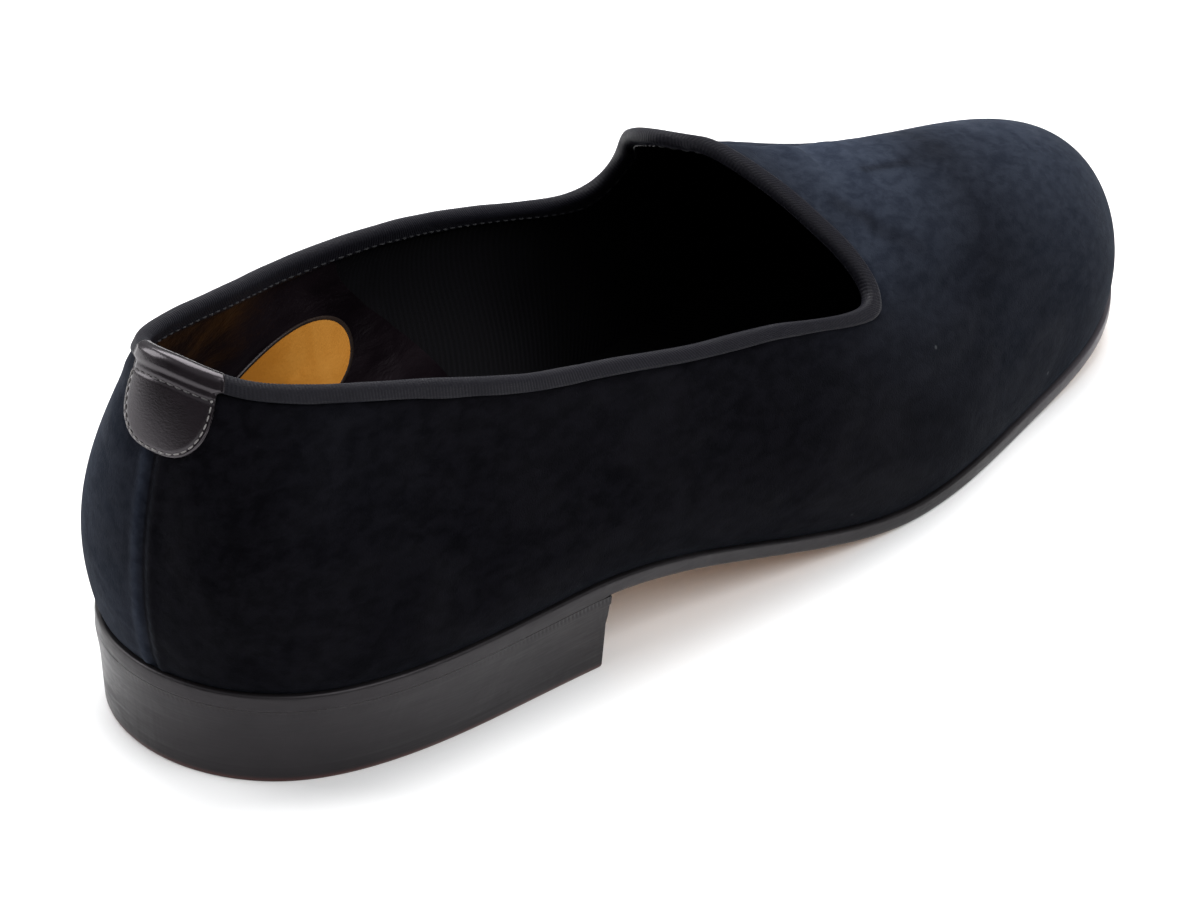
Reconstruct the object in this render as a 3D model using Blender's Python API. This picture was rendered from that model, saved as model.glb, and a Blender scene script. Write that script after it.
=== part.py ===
"""A right-foot velvet slipper loafer with a bound topline, a leather heel tab, a thin leather
sole and a low stacked heel. Blender 4.5, metres, +Z up, toe towards +X, medial side towards +Y.

The upper is one shell drawn by section curves that run from the feather line, where upper
meets sole, to a guide rim around the opening. Every other piece takes its place from that
shell and from the sole's profile. Sizes below are in millimetres."""

import math

import bmesh
import bpy
import numpy as np

# Driving sizes
LENGTH = 290.0  # feather line, back of heel to toe tip
BALL_WIDTH = 90.0  # feather line, across the ball
BACK_HEIGHT = 62.7  # guide rim above the sole at the back of the heel
INSTEP_HEIGHT = 77.0  # guide rim above the sole at the crest of the tongue
WALL = 1.6  # velvet, stiffener and lining together
GAP = 0.3  # clearance between pieces that meet

SOLE_THICKNESS = 3.4
SOLE_MARGIN = 0.7  # how far the sole's edge stands out past the feather line
SOLE_EDGE_ROUND = 0.6
HEEL_HEIGHT = 16.5  # ground to the underside of the sole
HEEL_LENGTH = 86.0
HEEL_INSET = 0.4  # heel block drawn in from the sole's edge at the top
HEEL_TAPER = 1.8  # further inset at the ground, round the back
BREAST_TAPER = 0.7  # the same beside the front face
BREAST_HOLLOW = 2.5  # depth of the curve in the heel's front face
TOE_SPRING = 9.5
INSOLE_THICKNESS = 2.6
INSOLE_CLEARANCE = 0.8  # between its edge and the wall

BINDING_THICKNESS = 0.5
BINDING_DROP = 2.5  # down the outside, from the rim
BINDING_TURN_IN = 3.4  # down the inside

TAB_THICKNESS = 0.6
TAB_WIDTH = 17.5
TAB_DROP = 17.2
TAB_TURN_IN = 6.0
TAB_SQUARENESS = 2.6  # 2 is a half ellipse, more is a squarer patch

# Shares of LENGTH at which the sole lands on its tread and lifts again towards the toe.
TREAD_START = 0.62
TREAD_END = 0.75
SEAT_SHARE = 0.92  # share of HEEL_LENGTH over which the seat stays level

# One row for each section curve, round from the back of the heel by the lateral side to the
# toe and home by the medial side. Along is a share of LENGTH and out a share of BALL_WIDTH.
# Rim_up is a share of the height line, which runs from BACK_HEIGHT to INSTEP_HEIGHT. Lean is
# the angle outwards at the feather line and roll the angle inwards at the rim, both from
# upright, in degrees. Low and high say how far each keeps its direction, as shares of the
# section's chord.
SECTION_COLUMNS = ("along", "out", "rim_along", "rim_out", "rim_up", "lean", "low", "roll", "high")
SECTIONS = {
    "heel_back": (0.000, 0.000, 0.015, 0.000, 1.000, 18, 0.38, 24, 0.31),
    "heel_turn_lateral": (0.040, -0.274, 0.049, -0.153, 0.915, 19, 0.39, 23, 0.31),
    "heel_side_lateral": (0.139, -0.390, 0.152, -0.234, 0.746, 12, 0.35, 15, 0.30),
    "breast_lateral": (0.253, -0.414, 0.228, -0.290, 0.641, 14, 0.35, 14, 0.30),
    "waist_lateral": (0.395, -0.441, 0.299, -0.300, 0.590, 16, 0.35, 25, 0.30),
    "joint_lateral": (0.528, -0.482, 0.374, -0.269, 0.653, 14, 0.32, 34, 0.33),
    "ball_lateral": (0.654, -0.482, 0.417, -0.188, 0.792, 9, 0.28, 46, 0.359),
    "toe_side_lateral": (0.792, -0.393, 0.441, -0.107, 0.908, 9, 0.204, 51, 0.423),
    "toe_turn_lateral": (0.929, -0.267, 0.451, -0.032, 0.972, 11, 0.232, 60, 0.475),
    "toe_tip": (1.000, 0.047, 0.453, 0.032, 1.002, 9, 0.254, 60, 0.470),
    "toe_turn_medial": (0.933, 0.315, 0.4535, 0.099, 1.002, 8, 0.215, 55, 0.474),
    "toe_side_medial": (0.838, 0.443, 0.444, 0.169, 0.946, 6, 0.218, 58, 0.425),
    "ball_medial": (0.712, 0.477, 0.421, 0.249, 0.846, 7, 0.246, 49, 0.343),
    "joint_medial": (0.576, 0.441, 0.374, 0.331, 0.739, 15, 0.345, 43, 0.325),
    "waist_medial": (0.415, 0.303, 0.291, 0.384, 0.666, 24, 0.345, 24, 0.305),
    "breast_medial": (0.269, 0.321, 0.219, 0.368, 0.687, 16, 0.35, 14, 0.30),
    "heel_side_medial": (0.131, 0.380, 0.145, 0.290, 0.783, 13, 0.355, 15, 0.30),
    "heel_turn_medial": (0.036, 0.280, 0.039, 0.173, 0.936, 20, 0.39, 22, 0.31),
}
ROWS = len(SECTIONS)
CREST_ALONG = 0.456  # where the height line reaches INSTEP_HEIGHT, share of LENGTH

# How much of each section curve the cut topline keeps. Place counts rows of SECTIONS.
TOPLINE = {
    "back": (0.0, 1.00),
    "lateral_heel": (2.0, 1.02),
    "lateral_waist": (4.0, 0.983),
    "lateral_run": (4.9, 0.873),
    "lateral_corner": (5.94, 0.695),
    "lateral_turn": (6.68, 0.605),
    "lateral_tongue": (7.5, 0.768),
    "tongue_crest": (9.0, 0.906),
    "medial_tongue": (10.5, 0.842),
    "medial_turn": (11.34, 0.643),
    "medial_corner": (12.11, 0.603),
    "medial_run": (13.15, 0.851),
    "medial_waist": (14.0, 0.978),
    "medial_heel": (16.0, 1.032),
}

# How finely the curves are read
SHELL_STEPS = 82  # round the shell, from one edge of the heel tab to the other
TAB_STEPS = 16
WALL_STEPS = 11  # up the shell
SOLE_STEPS = 48
HEEL_STEPS = 18


def loop_spline(places, values, at):
    """Cubic spline through values at places on a loop of ROWS, read at each of at."""
    places = np.asarray(places, float)
    values = np.asarray(values, float).reshape(len(places), -1)
    count = len(places)
    ends = np.append(places, places[0] + ROWS)
    gaps = np.diff(ends)
    before = np.roll(gaps, 1)
    slopes = (np.roll(values, -1, 0) - values) / gaps[:, None]
    matrix = np.zeros((count, count))
    for i in range(count):
        matrix[i, i - 1] += before[i]
        matrix[i, i] += 2 * (before[i] + gaps[i])
        matrix[i, (i + 1) % count] += gaps[i]
    bends = np.linalg.solve(matrix, 6 * (slopes - np.roll(slopes, 1, 0)))
    at = (np.asarray(at, float) - places[0]) % ROWS + places[0]
    i = np.clip(np.searchsorted(ends, at, side="right") - 1, 0, count - 1)
    j = (i + 1) % count
    step = gaps[i][:, None]
    a = (ends[i + 1] - at)[:, None] / step
    b = 1 - a
    cubic = (a**3 - a) * bends[i] + (b**3 - b) * bends[j]
    return a * values[i] + b * values[j] + cubic * step**2 / 6


def sole_underside(x):
    """Height of the sole's underside at x: level seat, shank, flat tread, toe spring."""
    seat_end = HEEL_LENGTH * SEAT_SHARE
    fall = np.clip((x - seat_end) / (TREAD_START * LENGTH - seat_end), 0, 1)
    lift = np.clip((x / LENGTH - TREAD_END) / (1 - TREAD_END), 0, None)
    return HEEL_HEIGHT * (1 - fall**2 * (3 - 2 * fall)) + TOE_SPRING * lift**2


def sole_top(x):
    return sole_underside(x) + SOLE_THICKNESS


def seat(x):
    """Height at which the upper and the insole stand on the sole."""
    return sole_top(x) + GAP


def outward(run):
    """Level unit vectors square to plan directions, away from the shoe's middle."""
    size = np.hypot(run[:, 0], run[:, 1])
    return np.stack([run[:, 1] / size, -run[:, 0] / size, np.zeros(len(run))], 1)


def sections_at(around):
    table = loop_spline(np.arange(ROWS), list(SECTIONS.values()), around)
    c = dict(zip(SECTION_COLUMNS, table.T))
    feather = np.stack([c["along"] * LENGTH, c["out"] * BALL_WIDTH], 1)
    rim = np.stack([c["rim_along"] * LENGTH, c["rim_out"] * BALL_WIDTH], 1)
    return c, feather, rim


def section_curves(around):
    """Four control points of each section curve, feather line to guide rim."""
    c, feather, rim = sections_at(around)
    step = 1e-3
    ahead = sections_at(around + step)
    behind = sections_at(around - step)
    feather_out = outward(ahead[1] - behind[1])
    rim_out = outward(ahead[2] - behind[2])
    height_line = BACK_HEIGHT + (INSTEP_HEIGHT - BACK_HEIGHT) * c["rim_along"] / CREST_ALONG
    foot = np.column_stack([feather, seat(feather[:, 0])])
    top = np.column_stack([rim, sole_top(rim[:, 0]) + c["rim_up"] * height_line])
    chord = np.linalg.norm(top - foot, axis=1)
    up = np.array([0.0, 0.0, 1.0])
    lean = np.radians(c["lean"])[:, None]
    roll = np.radians(c["roll"])[:, None]
    start = feather_out * np.sin(lean) + up * np.cos(lean)
    end = up * np.cos(roll) - rim_out * np.sin(roll)
    return foot, foot + (chord * c["low"])[:, None] * start, top - (chord * c["high"])[:, None] * end, top


def skin(around, up):
    """Points of the upper's outside. Up is 0 at the feather line and 1 at the cut topline."""
    places, shares = zip(*TOPLINE.values())
    t = up[:, None] * loop_spline(places, shares, around)
    a, b, c, d = section_curves(around)
    return (1 - t) ** 3 * a + 3 * t * (1 - t) ** 2 * b + 3 * t**2 * (1 - t) * c + t**3 * d


def shell(around, up, proud=0.0):
    """Points of the upper's outside, moved outwards by proud, or into the wall if it is negative."""
    up = np.broadcast_to(np.asarray(up, float), around.shape)
    step = 1e-3
    along = skin(around + step, up) - skin(around - step, up)
    climb = skin(around, up + step) - skin(around, up - step)
    normal = np.cross(along, climb)
    return skin(around, up) + proud * normal / np.linalg.norm(normal, axis=1)[:, None]


def rim(around, proud, rise):
    """Points near the cut topline, at rise above it or below it, measured square to it."""
    step = 1e-3
    edge = shell(around, 1.0, proud)
    climb = (edge - shell(around, 1.0 - step, proud)) / step
    along = shell(around + step, 1.0, proud) - shell(around - step, 1.0, proud)
    length = np.linalg.norm(climb, axis=1)
    slant = np.linalg.norm(np.cross(climb, along), axis=1) / (length * np.linalg.norm(along, axis=1))
    rise = rise / np.maximum(slant, 0.5)
    above = edge + climb / length[:, None] * np.maximum(rise, 0)[:, None]
    below = shell(around, 1 + np.minimum(rise, 0) / length, proud)
    return np.where((rise > 0)[:, None], above, below)


def rim_place(distance, side):
    """Place at which the topline has run that distance from the back, on side 1 or -1."""
    around = side * np.linspace(0, 3, 400)
    edge = skin(around, np.ones(400))
    run = np.append(0, np.cumsum(np.linalg.norm(np.diff(edge, axis=0), axis=1)))
    return float(np.interp(distance, run, around))


def foot_line(around, margin, height=0.0):
    """Points at a margin outside the feather line, at a height over the seat, leaning with the wall."""
    c, feather, _ = sections_at(around)
    out = outward(sections_at(around + 1e-3)[1] - sections_at(around - 1e-3)[1])[:, :2]
    plan = feather + out * (margin + height * np.tan(np.radians(c["lean"])))[:, None]
    return np.column_stack([plan, seat(plan[:, 0]) + height])


def sides(line):
    """Lateral and medial runs of a closed line, each from its back to its toe."""
    line = np.roll(line[:-1], -int(np.argmin(line[:-1, 0])), axis=0)
    tip = int(np.argmax(line[:, 0]))
    return line[: tip + 1], np.vstack([line[:1], line[: tip - 1 : -1]])


def spread(start, stop, count, marks=()):
    """Values from start to stop, close together at both ends, with one on each mark."""
    x = start + (stop - start) * (1 - np.cos(np.linspace(0, math.pi, count + 1))) / 2
    for mark in marks:
        x[np.argmin(abs(x - mark))] = mark
    return x


def chords(line, x):
    """Lateral and medial points of a closed line at each x."""
    lateral, medial = sides(line)
    return [np.column_stack([x, np.interp(x, run[:, 0], run[:, 1])]) for run in (lateral, medial)]


def solid(name, rings, material, closed=False, caps=False, sharp=35):
    """Closed mesh through rings of points, joined in a loop, or capped at both ends."""
    mesh = bpy.data.meshes.new(name)
    bm = bmesh.new()
    rows = [[bm.verts.new(point * 0.001) for point in ring] for ring in rings]
    pairs = list(zip(rows, rows[1:]))
    if closed:
        pairs.append((rows[-1], rows[0]))
    count = len(rows[0])
    for one, two in pairs:
        for i in range(count):
            j = (i + 1) % count
            bm.faces.new((one[i], one[j], two[j], two[i]))
    if caps:
        bm.faces.new(rows[0])
        bm.faces.new(rows[-1])
    bmesh.ops.remove_doubles(bm, verts=bm.verts, dist=1e-6)
    bmesh.ops.recalc_face_normals(bm, faces=bm.faces)
    bm.to_mesh(mesh)
    bm.free()
    mesh.shade_smooth()
    mesh.set_sharp_from_angle(angle=math.radians(sharp))
    mesh.materials.append(material)
    piece = bpy.data.objects.new(name, mesh)
    bpy.context.collection.objects.link(piece)
    return piece


def material(name, colour, roughness):
    made = bpy.data.materials.new(name)
    made.use_nodes = True
    surface = made.node_tree.nodes["Principled BSDF"]
    surface.inputs["Base Color"].default_value = (*colour, 1)
    surface.inputs["Roughness"].default_value = roughness
    surface.inputs["Metallic"].default_value = 0.0
    return made


def shell_places():
    """Places round the shell: over the heel tab, then on round to it again."""
    lateral = rim_place(TAB_WIDTH / 2, 1)
    medial = rim_place(TAB_WIDTH / 2, -1)
    across = (1 + np.sin(np.linspace(-math.pi / 2, math.pi / 2, TAB_STEPS + 1))) / 2
    tab = medial + (lateral - medial) * across
    rest = np.linspace(lateral, ROWS + medial, SHELL_STEPS + 1)
    return tab, rest


def make_upper(around):
    ups = np.linspace(0, 1, WALL_STEPS + 1)
    outside = [shell(around, up) for up in ups]
    inside = [shell(around, up, -WALL) for up in ups]
    lean = np.radians(sections_at(around)[0]["lean"])
    inside[0] = foot_line(around, -WALL / np.cos(lean))
    return solid("upper", outside + inside[::-1], VELVET, closed=True)


def make_outsole():
    dense = np.linspace(0, ROWS, 721)
    rounded = SOLE_EDGE_ROUND
    levels = (
        (SOLE_MARGIN - rounded, 0.0),
        (SOLE_MARGIN, rounded),
        (SOLE_MARGIN, SOLE_THICKNESS - rounded),
        (SOLE_MARGIN - rounded, SOLE_THICKNESS),
    )
    marks = (TREAD_START * LENGTH, TREAD_END * LENGTH)
    lateral = []
    medial = []
    for margin, height in levels:
        line = foot_line(dense, margin)
        x = spread(line[:, 0].min(), line[:, 0].max(), SOLE_STEPS, marks)
        one, two = chords(line, x)
        z = sole_underside(x) + height
        lateral.append(np.column_stack([one, z]))
        medial.append(np.column_stack([two, z]))
    rings = np.stack(lateral + medial[::-1], 1)
    return solid("outsole", rings, SOLE_LEATHER, caps=True)


def make_insole():
    dense = np.linspace(0, ROWS, 721)
    lean = np.radians(sections_at(dense)[0]["lean"])
    inset = -(WALL / np.cos(lean) + INSOLE_CLEARANCE)
    lateral = []
    medial = []
    for height in (0.0, INSOLE_THICKNESS):
        line = foot_line(dense, inset, height * 0.5)
        x = spread(line[:, 0].min(), line[:, 0].max(), SOLE_STEPS)
        one, two = chords(line, x)
        z = seat(x) + height
        lateral.append(np.column_stack([one, z]))
        medial.append(np.column_stack([two, z]))
    rings = np.stack(lateral + medial[::-1], 1)
    return solid("insole", rings, LINING_LEATHER, caps=True)


def make_heel():
    """D-shaped block under the seat, hollowed across its front."""
    dense = np.linspace(0, ROWS, 721)
    across = np.linspace(0, 1, 9)
    grids = []
    forward = np.clip(sections_at(dense)[1][:, 0] / HEEL_LENGTH, 0, 1)
    taper = HEEL_TAPER + (BREAST_TAPER - HEEL_TAPER) * forward**2
    for inset, top in ((HEEL_INSET + taper, False), (HEEL_INSET, True)):
        line = foot_line(dense, SOLE_MARGIN - inset)
        start = line[:, 0].min()
        step = 1 - np.cos(np.linspace(0, math.pi / 2, HEEL_STEPS + 1))
        x = start + (HEEL_LENGTH - HEEL_INSET - start) * step
        one, two = chords(line, x)
        grid = one[:, None] * (1 - across[:, None]) + two[:, None] * across[:, None]
        hollow = BREAST_HOLLOW * (1 - (2 * across - 1) ** 2)
        grid[:, :, 0] -= hollow * step[:, None] ** 4
        z = sole_underside(grid[:, :, 0]) - GAP if top else np.zeros(grid.shape[:2])
        grids.append(np.dstack([grid, z]))
    rings = np.concatenate([grids[0], grids[1][:, ::-1]], 1)
    return solid("heel", rings, HEEL_LEATHER, caps=True)


def folded(thickness):
    """Corners of a strip folded over the rim, outer foot round to inner foot, as proud and rise."""
    near = GAP
    far = GAP + thickness
    bend = thickness * 0.6
    return (
        (far, 0.0),
        (far, far - bend),
        (far - bend, far),
        (bend - WALL - far, far),
        (-WALL - far, far - bend),
        (-WALL - far, 0.0),
    ), ((-WALL - near, 0.0), (-WALL - near, near), (near, near), (near, 0.0))


def make_folded(name, around, thickness, drop, turn_in, leg_steps, made_of):
    """Strip folded over the rim. Drop may change along it. Each leg is read at even steps."""
    over, under = folded(thickness)
    far = GAP + thickness
    legs = np.arange(1, leg_steps + 1) / leg_steps
    turns = np.array([0.5, 1.0])
    loop = [(far, -leg * drop) for leg in legs[::-1]]
    loop += list(over)
    loop += [(-WALL - far, -leg * turn_in) for leg in turns]
    loop += [(-WALL - GAP, -leg * turn_in) for leg in turns[::-1]]
    loop += list(under)
    loop += [(GAP, -leg * drop) for leg in legs]
    columns = [rim(around, proud, np.broadcast_to(rise, around.shape)) for proud, rise in loop]
    return solid(name, np.stack(columns, 1), made_of, caps=True, sharp=50)


def make_binding(around):
    """Ribbed tape over the topline, from one edge of the heel tab round to the other."""
    row = (rim_place(TAB_WIDTH / 2 + GAP, 1), rim_place(TAB_WIDTH / 2 + GAP, -1))
    around = np.concatenate([[row[0]], around[1:-1], [ROWS + row[1]]])
    return make_folded("topline_binding", around, BINDING_THICKNESS, BINDING_DROP, BINDING_TURN_IN, 1, TAPE)


def make_tab(around):
    """Half-round patch down the back of the heel, rolled over the topline."""
    across = np.linspace(-1, 1, len(around))
    across = np.sin(across * math.pi / 2)
    drop = BINDING_DROP + (TAB_DROP - BINDING_DROP) * np.sqrt(1 - abs(across) ** TAB_SQUARENESS)
    return make_folded("heel_tab", around, TAB_THICKNESS, drop, TAB_TURN_IN, 6, TAB_LEATHER)


def centre(pieces):
    """Move the shoe so that the middle of its box stands over the origin."""
    bpy.context.view_layer.update()
    corners = np.array([vert.co[:] for piece in pieces for vert in piece.data.vertices])
    middle = (corners.min(0) + corners.max(0)) / 2
    shoe = bpy.data.objects.new("slipper", None)
    bpy.context.collection.objects.link(shoe)
    for piece in pieces:
        piece.parent = shoe
    shoe.location = (-middle[0], -middle[1], 0)


for old in list(bpy.data.objects):
    bpy.data.objects.remove(old, do_unlink=True)

VELVET = material("velvet", (0.012, 0.014, 0.022), 0.95)
TAPE = material("ribbed_tape", (0.03, 0.035, 0.045), 0.8)
TAB_LEATHER = material("tab_leather", (0.03, 0.022, 0.027), 0.35)
LINING_LEATHER = material("lining_leather", (0.035, 0.018, 0.022), 0.4)
SOLE_LEATHER = material("sole_leather", (0.30, 0.17, 0.09), 0.55)
HEEL_LEATHER = material("heel_leather", (0.02, 0.02, 0.022), 0.35)

tab_places, rest_places = shell_places()
around_shell = np.concatenate([tab_places[:-1], rest_places[:-1]])
centre(
    [
        make_upper(around_shell),
        make_outsole(),
        make_insole(),
        make_heel(),
        make_binding(rest_places),
        make_tab(tab_places),
    ]
)
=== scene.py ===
"""Looks of a right-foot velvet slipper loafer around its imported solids. The shoe's surfaces are
drawn again, finer, from the same sizes and section table as the solids. Sizes are in
millimetres, in the shoe's own frame with the heel at x 0; meshes are made in metres."""

import math

import bpy
import numpy as np
from mathutils import Matrix, Vector


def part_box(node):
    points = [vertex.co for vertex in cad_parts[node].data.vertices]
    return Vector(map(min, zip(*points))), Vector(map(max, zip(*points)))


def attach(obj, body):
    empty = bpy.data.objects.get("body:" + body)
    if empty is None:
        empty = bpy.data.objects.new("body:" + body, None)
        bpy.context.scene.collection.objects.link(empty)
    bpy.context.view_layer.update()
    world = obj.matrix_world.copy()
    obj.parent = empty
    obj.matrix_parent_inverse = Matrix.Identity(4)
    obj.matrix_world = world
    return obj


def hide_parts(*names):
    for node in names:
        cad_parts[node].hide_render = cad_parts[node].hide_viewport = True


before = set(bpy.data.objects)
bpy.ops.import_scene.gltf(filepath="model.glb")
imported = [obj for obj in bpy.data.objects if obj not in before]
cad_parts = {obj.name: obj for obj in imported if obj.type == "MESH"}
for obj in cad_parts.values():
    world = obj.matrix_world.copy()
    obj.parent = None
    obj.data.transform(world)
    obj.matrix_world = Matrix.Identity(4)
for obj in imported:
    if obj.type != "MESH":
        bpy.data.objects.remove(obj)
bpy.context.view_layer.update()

# Sizes of the solids
LENGTH = 290.0
BALL_WIDTH = 90.0
BACK_HEIGHT = 62.7
INSTEP_HEIGHT = 77.0
WALL = 1.6
GAP = 0.3
SOLE_THICKNESS = 3.4
SOLE_MARGIN = 0.7
HEEL_HEIGHT = 16.5
HEEL_LENGTH = 86.0
HEEL_INSET = 0.4
HEEL_TAPER = 1.8
BREAST_TAPER = 0.7
BREAST_HOLLOW = 2.5
TOE_SPRING = 9.5
INSOLE_THICKNESS = 2.6
BINDING_THICKNESS = 0.5
BINDING_DROP = 2.5
BINDING_TURN_IN = 3.4
TAB_THICKNESS = 0.6
TAB_WIDTH = 17.5
TAB_DROP = 17.2
TAB_TURN_IN = 6.0
TAB_SQUARENESS = 2.6  # power of its rounded lower end
TREAD_START = 0.62  # shares of the length between which the tread lies flat
TREAD_END = 0.75
SEAT_SHARE = 0.92  # of the heel's length, level
CREST_ALONG = 0.456  # share of the length at the tongue's crest

MM = 0.001  # in metres
STEP = 1e-3  # of a place or a share, over which slopes are taken
FOLD_DROP = 0.7  # depth under the rim at which a strip starts to fold over it

# Each section's foot on the feather line and its guide rim, as shares of LENGTH, BALL_WIDTH and
# height, its two slants in degrees, and the reach of its two handles as shares of its chord.
SECTION_COLUMNS = ("along", "out", "rim_along", "rim_out", "rim_up", "lean", "low", "roll", "high")
SECTIONS = {
    "heel_back": (0.000, 0.000, 0.015, 0.000, 1.000, 18, 0.38, 24, 0.31),
    "heel_turn_lateral": (0.040, -0.274, 0.049, -0.153, 0.915, 19, 0.39, 23, 0.31),
    "heel_side_lateral": (0.139, -0.390, 0.152, -0.234, 0.746, 12, 0.35, 15, 0.30),
    "breast_lateral": (0.253, -0.414, 0.228, -0.290, 0.641, 14, 0.35, 14, 0.30),
    "waist_lateral": (0.395, -0.441, 0.299, -0.300, 0.590, 16, 0.35, 25, 0.30),
    "joint_lateral": (0.528, -0.482, 0.374, -0.269, 0.653, 14, 0.32, 34, 0.33),
    "ball_lateral": (0.654, -0.482, 0.417, -0.188, 0.792, 9, 0.28, 46, 0.359),
    "toe_side_lateral": (0.792, -0.393, 0.441, -0.107, 0.908, 9, 0.204, 51, 0.423),
    "toe_turn_lateral": (0.929, -0.267, 0.451, -0.032, 0.972, 11, 0.232, 60, 0.475),
    "toe_tip": (1.000, 0.047, 0.453, 0.032, 1.002, 9, 0.254, 60, 0.470),
    "toe_turn_medial": (0.933, 0.315, 0.4535, 0.099, 1.002, 8, 0.215, 55, 0.474),
    "toe_side_medial": (0.838, 0.443, 0.444, 0.169, 0.946, 6, 0.218, 58, 0.425),
    "ball_medial": (0.712, 0.477, 0.421, 0.249, 0.846, 7, 0.246, 49, 0.343),
    "joint_medial": (0.576, 0.441, 0.374, 0.331, 0.739, 15, 0.345, 43, 0.325),
    "waist_medial": (0.415, 0.303, 0.291, 0.384, 0.666, 24, 0.345, 24, 0.305),
    "breast_medial": (0.269, 0.321, 0.219, 0.368, 0.687, 16, 0.35, 14, 0.30),
    "heel_side_medial": (0.131, 0.380, 0.145, 0.290, 0.783, 13, 0.355, 15, 0.30),
    "heel_turn_medial": (0.036, 0.280, 0.039, 0.173, 0.936, 20, 0.39, 22, 0.31),
}
ROWS = len(SECTIONS)
# Place on the loop of sections, and the share of the guide curve at which the topline cuts it.
TOPLINE = {
    "back": (0.0, 1.00),
    "lateral_heel": (2.0, 1.02),
    "lateral_waist": (4.0, 0.983),
    "lateral_run": (4.9, 0.873),
    "lateral_corner": (5.94, 0.695),
    "lateral_turn": (6.68, 0.605),
    "lateral_tongue": (7.5, 0.768),
    "tongue_crest": (9.0, 0.906),
    "medial_tongue": (10.5, 0.842),
    "medial_turn": (11.34, 0.643),
    "medial_corner": (12.11, 0.603),
    "medial_run": (13.15, 0.851),
    "medial_waist": (14.0, 0.978),
    "medial_heel": (16.0, 1.032),
}


def loop_spline(places, values, at):
    """Cubic spline through values at places on a loop of ROWS, read at each of at."""
    places = np.asarray(places, float)
    values = np.asarray(values, float).reshape(len(places), -1)
    count = len(places)
    ends = np.append(places, places[0] + ROWS)
    gaps = np.diff(ends)
    before = np.roll(gaps, 1)
    slopes = (np.roll(values, -1, 0) - values) / gaps[:, None]
    matrix = np.zeros((count, count))
    for i in range(count):
        matrix[i, i - 1] += before[i]
        matrix[i, i] += 2 * (before[i] + gaps[i])
        matrix[i, (i + 1) % count] += gaps[i]
    bends = np.linalg.solve(matrix, 6 * (slopes - np.roll(slopes, 1, 0)))
    at = (np.asarray(at, float) - places[0]) % ROWS + places[0]
    i = np.clip(np.searchsorted(ends, at, side="right") - 1, 0, count - 1)
    j = (i + 1) % count
    step = gaps[i][:, None]
    a = (ends[i + 1] - at)[:, None] / step
    b = 1 - a
    cubic = (a**3 - a) * bends[i] + (b**3 - b) * bends[j]
    return a * values[i] + b * values[j] + cubic * step**2 / 6


def sole_underside(x):
    """Height of the sole's underside at x: level seat, shank, flat tread, toe spring."""
    seat_end = HEEL_LENGTH * SEAT_SHARE
    fall = np.clip((x - seat_end) / (TREAD_START * LENGTH - seat_end), 0, 1)
    lift = np.clip((x / LENGTH - TREAD_END) / (1 - TREAD_END), 0, None)
    return HEEL_HEIGHT * (1 - fall**2 * (3 - 2 * fall)) + TOE_SPRING * lift**2


def sole_top(x):
    return sole_underside(x) + SOLE_THICKNESS


def seat(x):
    """Height at which the upper and the insole stand on the sole."""
    return sole_top(x) + GAP


def unit(vectors):
    return vectors / np.linalg.norm(vectors, axis=1)[:, None]


def outward(run):
    """Level unit vectors square to plan directions, away from the shoe's middle."""
    size = np.hypot(run[:, 0], run[:, 1])
    return np.stack([run[:, 1] / size, -run[:, 0] / size, np.zeros(len(run))], 1)


def sections_at(around):
    """The table's columns at each place, and the plans of the feather line and guide rim."""
    table = loop_spline(np.arange(ROWS), list(SECTIONS.values()), around)
    c = dict(zip(SECTION_COLUMNS, table.T))
    feather = np.stack([c["along"] * LENGTH, c["out"] * BALL_WIDTH], 1)
    guide = np.stack([c["rim_along"] * LENGTH, c["rim_out"] * BALL_WIDTH], 1)
    return c, feather, guide


def section_curves(around):
    """Four control points of each section curve, feather line to guide rim."""
    c, feather, guide = sections_at(around)
    ahead = sections_at(around + STEP)
    behind = sections_at(around - STEP)
    feather_out = outward(ahead[1] - behind[1])
    guide_out = outward(ahead[2] - behind[2])
    height_line = BACK_HEIGHT + (INSTEP_HEIGHT - BACK_HEIGHT) * c["rim_along"] / CREST_ALONG
    foot = np.column_stack([feather, seat(feather[:, 0])])
    top = np.column_stack([guide, sole_top(guide[:, 0]) + c["rim_up"] * height_line])
    chord = np.linalg.norm(top - foot, axis=1)
    up = np.array([0.0, 0.0, 1.0])
    lean = np.radians(c["lean"])[:, None]
    roll = np.radians(c["roll"])[:, None]
    start = feather_out * np.sin(lean) + up * np.cos(lean)
    end = up * np.cos(roll) - guide_out * np.sin(roll)
    low = foot + (chord * c["low"])[:, None] * start
    high = top - (chord * c["high"])[:, None] * end
    return foot, low, high, top


def skin(around, up):
    """Points of the upper's outside. Up is 0 at the feather line and 1 at the cut topline."""
    places, shares = zip(*TOPLINE.values())
    t = up[:, None] * loop_spline(places, shares, around)
    a, b, c, d = section_curves(around)
    return (1 - t) ** 3 * a + 3 * t * (1 - t) ** 2 * b + 3 * t**2 * (1 - t) * c + t**3 * d


def skin_normal(around, up):
    """Unit normals of the upper's outside, away from the foot."""
    along = skin(around + STEP, up) - skin(around - STEP, up)
    climb = skin(around, up + STEP) - skin(around, up - STEP)
    return unit(np.cross(along, climb))


def shell(around, up, proud=0.0):
    """Points of the upper's outside, moved outwards by proud."""
    up = np.broadcast_to(np.asarray(up, float), around.shape)
    proud = np.broadcast_to(np.asarray(proud, float), around.shape)
    return skin(around, up) + proud[:, None] * skin_normal(around, up)


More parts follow.
